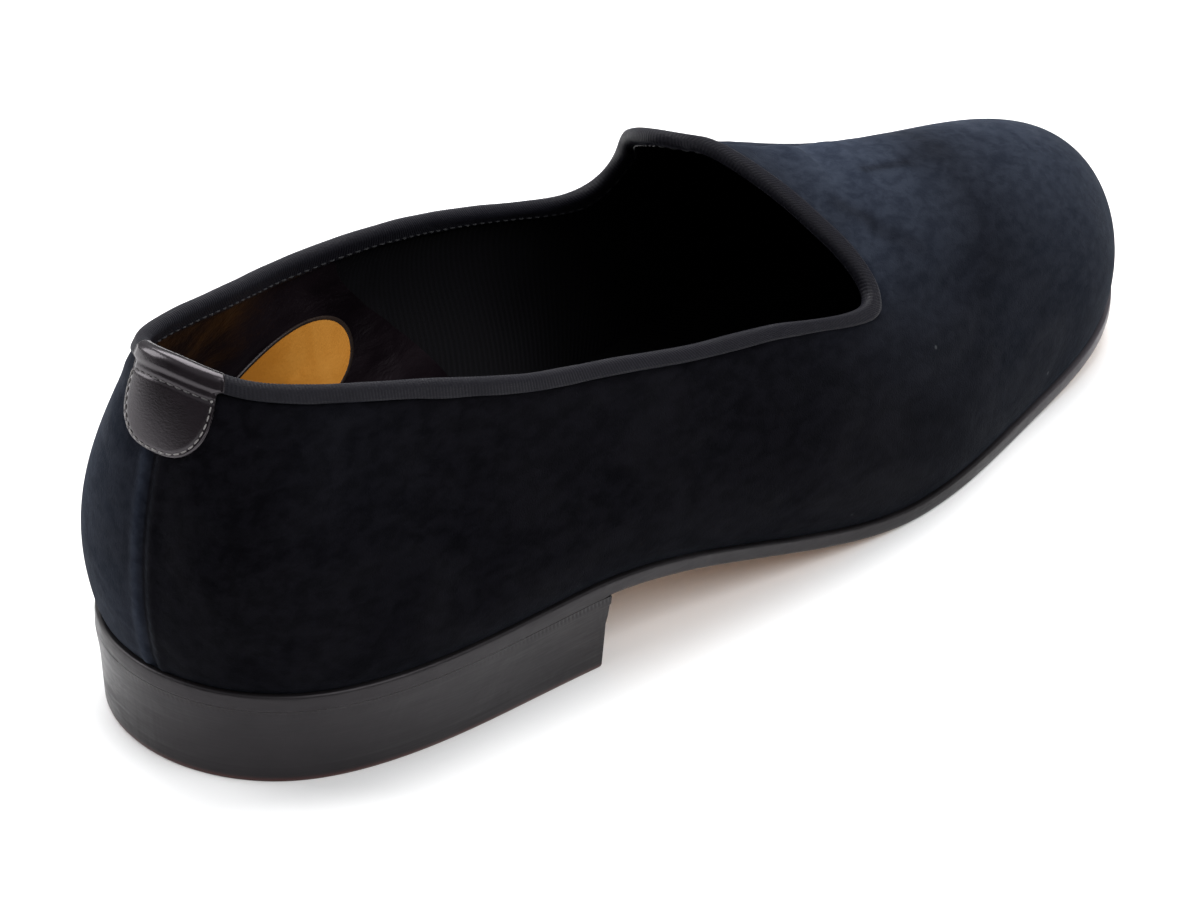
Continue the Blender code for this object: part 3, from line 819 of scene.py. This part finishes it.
def make_tab():
    """Leather patch rolled over the back of the topline, sunk a little along its stitches."""
    share = np.sin(np.linspace(-math.pi / 2, math.pi / 2, 121))
    run = share * TAB_WIDTH / 2
    around = top_place(run)
    top = top_place(run * TAB_FLARE)
    drop = tab_drop(share)
    side = -np.linspace(0, BINDING_DROP, 60)
    sides = [np.column_stack([np.full(60, s * TAB_WIDTH / 2), side]) for s in (-1, 1)]
    outline = np.vstack([np.column_stack([run, -drop]), *sides])
    far = TAB_THICKNESS + GAP
    half = WALL / 2 + far
    rows = []
    for t in np.linspace(1, 0, 64):
        rise = -FOLD_DROP - (drop - FOLD_DROP) * t
        flat = np.column_stack([run, rise])
        near = np.min(np.linalg.norm(flat[:, None] - outline[None], axis=2), axis=1)
        crown = edge_crown(near)
        proud = 0.05 + (far - 0.05) * crown - 0.14 * bell(near - TAB_STITCH_INSET, 0.3)
        proud += 0.06 * bell(rise + 1.2, 1.0) - 0.16 * bell(rise + TAB_ROW_DROP, 0.4)
        rolled = ease(rise, -3.1, -2.2)
        rows.append(rim(around + (top - around) * rolled, proud + TAB_BULGE * rolled * crown, rise))
    crown = edge_crown(TAB_WIDTH / 2 - abs(run))
    for a in np.linspace(0, math.pi, 17)[1:-1]:
        reach = 1 + (half + TAB_BULGE - 1) * crown
        rise = -FOLD_DROP + (0.2 + (0.5 + far) * crown) * math.sin(a)
        rows.append(rim(top, -WALL / 2 + reach * math.cos(a), rise))
    for t in np.linspace(0, 1, 10):
        rise = -FOLD_DROP - (TAB_TURN_IN - FOLD_DROP) * t
        thin = crown * math.sqrt(max(0.0, 1 - max(0.0, t - 0.85) ** 2 / 0.0225))
        rows.append(rim(top, -WALL - 0.05 - (far + 0.17) * thin, rise))
    grid = np.stack(rows, 1)
    down = np.tile(np.arange(len(rows)) * 0.35, len(run))
    uv = np.column_stack([np.repeat(run, len(rows)), down])
    faces = grid_faces(len(run), len(rows))
    return mesh_piece("heel_tab_leather", grid, faces, [TAB_LEATHER], uv=uv)


def stitch_row(name, points, normals, length, space, radius, made_of):
    """Short bent stitches along a line, their ends drawn into the surface."""
    run = run_along(points)
    starts = np.arange(0.3, run[-1] - length, length + space)
    rings, sides = 7, 6
    share = np.linspace(0, 1, rings)
    arch = np.sin(math.pi * share)
    size = radius * (0.55 + 0.45 * arch)
    height = radius * (1.7 * arch**0.7 - 0.9)
    slew = (share - 0.5) * 0.25 * radius
    turn = np.linspace(0, math.tau, sides, endpoint=False)
    verts, faces = [], []

    def at(distance, table):
        return np.stack([np.interp(distance, run, table[:, k]) for k in range(3)], 1)

    for n, start in enumerate(starts):
        centre = at(start + share * length, points)
        up = unit(at(start + share * length, normals))
        along = centre[-1] - centre[0]
        along /= np.linalg.norm(along)
        side = np.cross(along, up)
        middle = centre + up * height[:, None] + side * slew[:, None]
        for k in range(rings):
            ring = np.cos(turn)[:, None] * side[k] + np.sin(turn)[:, None] * up[k]
            verts.extend(middle[k] + size[k] * ring)
        faces.append(grid_faces(rings, sides, False, True, first=n * rings * sides))
    mesh_piece(name, np.array(verts), np.vstack(faces), [made_of])


def make_stitches():
    """Row inside the tape, row round the tab, row under its rolled top, and the knot of that."""
    start = TAB_WIDTH / 2 + 0.6
    run = np.linspace(start, TOP_LENGTH - start, 1500)
    around = top_place(run)
    inward = -skin_normal(around, np.ones(len(run)))
    far = GAP + BINDING_THICKNESS
    inner = rim(around, -WALL - far, -BINDING_TURN_IN + 0.7)
    stitch_row("binding_stitches", inner, inward, 1.9, 0.75, 0.15, DARK_THREAD)

    far = GAP + TAB_THICKNESS - 0.09
    share = np.sin(np.linspace(-math.pi / 2, math.pi / 2, 400))[1:-1]
    flat = np.column_stack([share * TAB_WIDTH / 2, -tab_drop(share)])
    way = unit(np.gradient(flat, axis=0))
    line = flat + np.column_stack([-way[:, 1], way[:, 0]]) * TAB_STITCH_INSET
    line = line[line[:, 1] < -TAB_ROW_DROP]
    reach = abs(line[0, 0])
    row = np.linspace(-reach, reach, 200)
    knot = np.linspace(reach - 0.5, reach + 0.25, 30)
    knot_rise = -TAB_ROW_DROP + (knot - reach) * 0.8
    for name, run, rise, *size, made_of in (
        ("tab_stitches_edge", line[:, 0], line[:, 1], 1.25, 0.35, 0.15, PALE_THREAD),
        ("tab_stitches_top", row, -TAB_ROW_DROP, 1.35, 0.45, 0.12, GREY_THREAD),
        ("tab_knot", knot, knot_rise, 0.55, 0.1, 0.24, PALE_THREAD),
    ):
        around = top_place(run)
        facing = skin_normal(around, np.ones(len(run)))
        stitch_row(name, rim(around, far, rise), facing, *size, made_of)


def ring_to_middle(line, share):
    """Plan of a closed line drawn in towards the sole's long axis."""
    x = np.clip(line[:, 0], line[:, 0].min() + 26, line[:, 0].max() - 30)
    spine = np.column_stack([x, np.interp(x, SPINE[:, 0], SPINE[:, 1])])
    return spine + (line[:, :2] - spine) * share


def spine_line():
    """Middle of the sole from heel to toe."""
    line = foot_line(np.linspace(0, ROWS, 1441), 0.0)
    half = int(np.argmax(line[:, 0]))
    x = np.linspace(20, LENGTH - 24, 60)
    one = np.interp(x, line[: half + 1, 0], line[: half + 1, 1])
    two = np.interp(x, line[half:][::-1, 0], line[half:][::-1, 1])
    return np.column_stack([x, (one + two) / 2])


SPINE = spine_line()


# The sole's edge: margin, level as a share of the thickness, and the run map's distance in.
SOLE_EDGE = (
    (-5.0, 1.0, 0.0), (-1.1, 1.0, 0.0), (-0.45, 0.985, 0.0), (-0.12, 0.93, 0.0), (0.0, 0.80, 0.0),
    (0.03, 0.55, 0.0), (0.0, 0.28, 0.0), (-0.14, 0.10, 0.0), (-0.42, 0.025, 0.2), (-0.9, 0.0, 0.8),
)
EDGE_BANDS = 8  # bands of faces from the top that are edge leather
CHANNEL_AT = 0.905  # ring of the stitched channel in the underside


def make_sole():
    """Leather sole: slightly rounded inked edge, flat tan underside with a stitched channel."""
    around = np.linspace(0, ROWS, 900, endpoint=False)
    rows = []
    for margin, level, _ in SOLE_EDGE:
        line = foot_line(around, SOLE_MARGIN + margin)
        if level < 0.5 and margin > -0.6:
            square = 1 - ease(line[:, 0], HEEL_LENGTH - 3, HEEL_LENGTH + 2)
            line = foot_line(around, SOLE_MARGIN + margin * (1 - 0.9 * square))
        z = sole_underside(line[:, 0]) + SOLE_THICKNESS * level
        rows.append(np.column_stack([line[:, :2], z]))
    inward = [way_in for _, _, way_in in SOLE_EDGE]
    base = foot_line(around, SOLE_MARGIN - 0.9)
    for share in (0.985, 0.96, 0.93, CHANNEL_AT, 0.88, 0.8, 0.65, 0.45, 0.22, 0.0):
        ring = ring_to_middle(base, share)
        depth = 0.22 * bell(share - CHANNEL_AT, 0.012)
        rows.append(np.column_stack([ring, sole_underside(ring[:, 0]) + depth]))
        inward.append(0.9 + (1 - share) * 34)
    grid = np.stack(rows, 1)
    uv = np.column_stack([np.repeat(run_along(base), len(rows)), np.tile(inward, len(around))])
    faces = grid_faces(len(around), len(rows), True)[:, ::-1]
    kinds = np.arange(len(faces)) % (len(rows) - 1) < EDGE_BANDS
    slots = [SOLE_LEATHER, EDGE_LEATHER]
    return mesh_piece("leather_sole", grid, faces, slots, kinds, uv, 60)


def heel_outline(inset, taper, count):
    """Closed D of the heel at one level: round the back, then across the hollowed breast."""
    around = np.linspace(-4.6, 4.6, 1200)
    forward = np.clip(sections_at(around)[1][:, 0] / HEEL_LENGTH, 0, 1)
    spread = HEEL_TAPER + (BREAST_TAPER - HEEL_TAPER) * forward**2
    line = foot_line(around, SOLE_MARGIN - inset - taper * spread)[:, :2]
    line = line[line[:, 0] <= HEEL_LENGTH - inset]
    run = run_along(line)
    pick = np.linspace(0, run[-1], count)
    curve = np.stack([np.interp(pick, run, line[:, k]) for k in range(2)], 1)
    share = np.linspace(0, 1, 41)[1:-1]
    breast = curve[-1] + (curve[0] - curve[-1]) * share[:, None]
    breast[:, 0] -= BREAST_HOLLOW * (1 - (2 * share - 1) ** 2)
    return np.vstack([curve, breast]), curve, pick


HEEL_LEVELS = np.array([
    0.0, 0.25, 0.8, 1.6, 2.6, 3.1, 3.3, 3.5, 4.0, 5.5, 7.0, 8.2, 8.4, 8.6, 10.0, 11.6, 12.8, 13.2,
    13.5, 13.9, 14.3, 14.7, 15.0, 15.2, 15.4, 15.6, 15.8, 16.0, 16.2, 16.35,
])
LEVEL_TO = 12.5  # height above which the levels bend to follow the sole's underside
LIFT_JOINT = 3.3  # height of the line above the top piece
WHEEL_HEIGHT = 15.75  # of the row of wheel marks
WHEEL_PITCH = 1.05


def make_heel():
    """Built-up heel: burnished side with a row of wheel marks below the seat, and a top piece."""
    count = 1000
    rows = []
    for z in HEEL_LEVELS:
        inset = HEEL_INSET * (1 - ease(z, 10, 16.3))
        inset += 0.35 * bell(z, 0.3) + 0.03 * bell(z - LIFT_JOINT, 0.16)
        ring, curve, run = heel_outline(inset, 1 - z / HEEL_HEIGHT, count)
        marks = 0.11 * np.maximum(np.cos(run / WHEEL_PITCH * math.tau), 0) ** 1.5
        marks = marks * bell(z - WHEEL_HEIGHT, 0.5)
        fade = 0.55 + 0.45 * np.sin(run * 0.05 + 0.6) * np.sin(run * 0.021)
        out = outward(np.gradient(curve, axis=0))[:, :2]
        ring[:count] -= out * (marks * fade)[:, None]
        top = sole_underside(ring[:, 0]) + 0.02
        bent = LEVEL_TO + (top - LEVEL_TO) * (z - LEVEL_TO) / (HEEL_LEVELS[-1] - LEVEL_TO)
        rows.append(np.column_stack([ring, np.where(z < LEVEL_TO, z, bent)]))
    base = heel_outline(HEEL_INSET + 0.35, 1.0, count)[0]
    middle = np.array([HEEL_LENGTH * 0.5, 0.0])
    ground = np.zeros(len(base))
    shares = (0.02, 0.6, 0.93, 0.985)
    under = [np.column_stack([middle + (base - middle) * s, ground]) for s in shares]
    grid = np.stack(under + rows, 1)
    points = grid.reshape(-1, 3)
    uv = np.column_stack([np.repeat(run_along(base), grid.shape[1]), points[:, 2]])
    faces = grid_faces(len(base), grid.shape[1], True)
    return mesh_piece("stacked_heel", points, faces, [HEEL_LEATHER], uv=uv, sharp=40)


SOCK_SHARES = (1.0, 0.995, 0.98, 0.95, 0.9, 0.85, 0.78, 0.7, 0.6, 0.5, 0.4, 0.3, 0.2, 0.1, 0.0)


def make_sock():
    """Sock over the insole, a little cupped, its edge turned down, wrinkled at the seat."""
    around = np.linspace(0, ROWS, 600, endpoint=False)
    lean = np.radians(sections_at(around)[0]["lean"])
    inset = -(WALL / np.cos(lean) + 0.25)
    line = foot_line(around, inset, INSOLE_THICKNESS * 0.5)
    rows = [foot_line(around, inset - 0.3, 0.0)]
    for share in SOCK_SHARES:
        ring = ring_to_middle(line, share)
        x, y = ring.T
        ripple = 0.16 * np.sin(0.33 * x + 1.4 * np.sin(y * 0.19) + 0.6 * y) * (1 - share**8)
        ripple += 0.12 * np.sin(0.21 * x - 0.5 * y + 1.2 * np.sin(x * 0.11))
        height = seat(x) + INSOLE_THICKNESS + 0.9 * share**6 + ripple
        rows.append(np.column_stack([ring, height]))
    grid = np.stack(rows, 1)
    points = grid.reshape(-1, 3)
    faces = grid_faces(len(around), grid.shape[1], True)
    kinds = points[faces].mean(1)[:, 0] > SOCK_WEAVE_FROM
    return mesh_piece("sock", points, faces, [SOCK, WEAVE], kinds, points[:, :2])


LABEL_AT = (68.0, 42.6)  # along and height of its middle, on the medial quarter's lining
LABEL_SIZE = (41.0, 20.0)
LABEL_TURN = 5.0


def lining_at(x, z):
    """Places on the medial half of the lining at each x and height, by Newton's method."""
    place = np.full(len(x), 15.5)
    up = np.full(len(x), 0.5)
    for _ in range(14):
        here = shell(place, up, -WALL)
        over = (shell(place + STEP, up, -WALL) - here) / STEP
        climb = (shell(place, up + STEP, -WALL) - here) / STEP
        ex, ez = x - here[:, 0], z - here[:, 2]
        det = over[:, 0] * climb[:, 2] - climb[:, 0] * over[:, 2]
        place_step = np.clip((ex * climb[:, 2] - climb[:, 0] * ez) / det, -0.6, 0.6)
        up_step = np.clip((over[:, 0] * ez - ex * over[:, 2]) / det, -0.3, 0.3)
        place = np.clip(place + place_step, 12.5, 17.6)
        up = np.clip(up + up_step, 0.02, 0.97)
    return place, up


# The label from its edge to its middle: share of its size, and how far it stands off the lining.
LABEL_PROFILE = (
    (1.0, 0.05), (1.0, 0.42), (0.985, 0.50), (0.965, 0.52), (0.95, 0.50), (0.94, 0.45),
    (0.925, 0.46), (0.7, 0.50), (0.4, 0.52), (0.0, 0.52),
)
LABEL_RIM_BANDS = 5


def make_label():
    """Bare oval label stuck inside the medial quarter, with a dark rim."""
    turn = np.linspace(0, math.tau, 160, endpoint=False)
    tilt = math.radians(LABEL_TURN)
    rows = []
    for share, lift in LABEL_PROFILE:
        along = np.cos(turn) * LABEL_SIZE[0] / 2 * share
        climb = np.sin(turn) * LABEL_SIZE[1] / 2 * share
        x = LABEL_AT[0] + along * math.cos(tilt) - climb * math.sin(tilt)
        z = LABEL_AT[1] + along * math.sin(tilt) + climb * math.cos(tilt)
        place, up = lining_at(x, z)
        rows.append(shell(place, up, -WALL - 0.2 - lift))
    grid = np.stack(rows, 1)
    faces = grid_faces(len(turn), len(rows), True)[:, ::-1]
    kinds = np.arange(len(faces)) % (len(rows) - 1) < LABEL_RIM_BANDS
    mesh_piece("size_label", grid, faces, [LABEL, LABEL_RIM], kinds)


# Each piece, the solid that it replaces and the name of a slot.
PIECES = (
    (make_upper, "upper", "velvet"),
    (make_lining, None, "lining_leather"),
    (make_binding, "topline_binding", "ribbed_tape"),
    (make_tab, "heel_tab", "tab_leather"),
    (make_sole, "outsole", "sole_leather"),
    (make_heel, "heel", "heel_leather"),
    (make_sock, "insole", "lining_leather"),
)
for make, node_name, slot in PIECES:
    piece = make()
    if node_name:
        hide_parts(node_name)
make_stitches()
make_label()


# Camera: the photograph's place and roll, turned a little and with a longer lens to frame the
# one shoe.
AZIMUTH = math.radians(49.07)
ELEVATION = math.radians(27.91)
ROLL = math.radians(2.42)
DISTANCE = 1094.64
TARGET = np.array([143.7, 0.0, 40.0])
SLIDE = (-43.82, -7.41)
FRAME_WIDTH = 1200  # pixels
FOCAL = 3884.62  # in the same pixels
CENTRE = (611.76, 454.59)
AIM = (725.0, 519.0)  # pixel that comes to the middle
CLOSER = 1.4
SENSOR = 36.0

level = math.cos(ELEVATION)
forward = np.array([math.sin(AZIMUTH) * level, math.cos(AZIMUTH) * level, -math.sin(ELEVATION)])
flat_right = np.array([math.cos(AZIMUTH), -math.sin(AZIMUTH), 0.0])
flat_above = np.cross(flat_right, forward)
right = flat_right * math.cos(ROLL) + flat_above * math.sin(ROLL)
above = flat_above * math.cos(ROLL) - flat_right * math.sin(ROLL)
spot = TARGET - DISTANCE * forward + SLIDE[0] * right + SLIDE[1] * above
aside, down = [(aim - centre) / FOCAL for aim, centre in zip(AIM, CENTRE)]
forward = forward + aside * right - down * above
forward /= np.linalg.norm(forward)
right = right - forward * (right @ forward)
right /= np.linalg.norm(right)
above = np.cross(right, forward)
camera = placed("camera", bpy.data.cameras.new("camera"))
turned = Matrix([[right[k], above[k], -forward[k]] for k in range(3)]).to_4x4()
camera.matrix_world = Matrix.Translation(Vector((spot - ORIGIN) * MM)) @ turned
camera.data.sensor_width = SENSOR
camera.data.lens = FOCAL * CLOSER * SENSOR / FRAME_WIDTH
camera.data.clip_start = 0.05
bpy.context.scene.camera = camera


def studio():
    """Pale floor, soft light from above and behind, and three large lamps."""
    ground = bpy.data.meshes.new("floor")
    ground.from_pydata([(-9, -9, 0), (9, -9, 0), (9, 9, 0), (-9, 9, 0)], [], [(0, 1, 2, 3)])
    made, tree, shader = material("floor", Roughness=0.7, Specular=0.2, Emission_Strength=0.04)
    grey = noise(tree, coordinates(tree), 3, 2)
    paper = mixed(tree, grey, (0.90, 0.90, 0.90), (0.93, 0.93, 0.93))
    tree.links.new(paper, shader.inputs["Base Color"])
    shader.inputs["Emission Color"].default_value = (1, 1, 1, 1)
    ground.materials.append(made)
    floor = placed("floor", ground)
    world = bpy.data.worlds.new("world")
    bpy.context.scene.world = world
    world.use_nodes = True
    tree = world.node_tree
    way = node(tree, "SeparateXYZ", {0: node(tree, "TexCoord").outputs["Generated"]}).outputs
    overhead = ranged(tree, way["Z"], 0.2, 0.75, 0.05, 0.55)
    behind = ranged(tree, way["Y"], 0.35, 0.85, 0.0, 0.35)
    backdrop = tree.nodes["Background"].inputs
    backdrop["Color"].default_value = (0.97, 0.98, 1.0, 1)
    tree.links.new(maths(tree, "ADD", overhead, behind), backdrop["Strength"])
    lamps = {
        "top": ((0.45, 0.55, 1.6), (0.0, 0.0, 0.0), 1.5, 46.0),
        "back_left": ((-0.75, 1.25, 0.8), (-0.02, 0.0, 0.04), 0.9, 14.0),
        "front": ((0.1, -1.35, 1.5), (0.0, -0.1, 0.0), 1.3, 22.0),
    }
    for name, (place, towards, size, power) in lamps.items():
        lamp = bpy.data.lights.new(name, "AREA")
        lamp.size = size
        lamp.energy = power
        holder = placed(name, lamp)
        holder.location = place
        holder.rotation_mode = "QUATERNION"
        holder.rotation_quaternion = (Vector(towards) - Vector(place)).to_track_quat("-Z", "Y")


studio()
bpy.context.scene.view_settings.view_transform = "Standard"
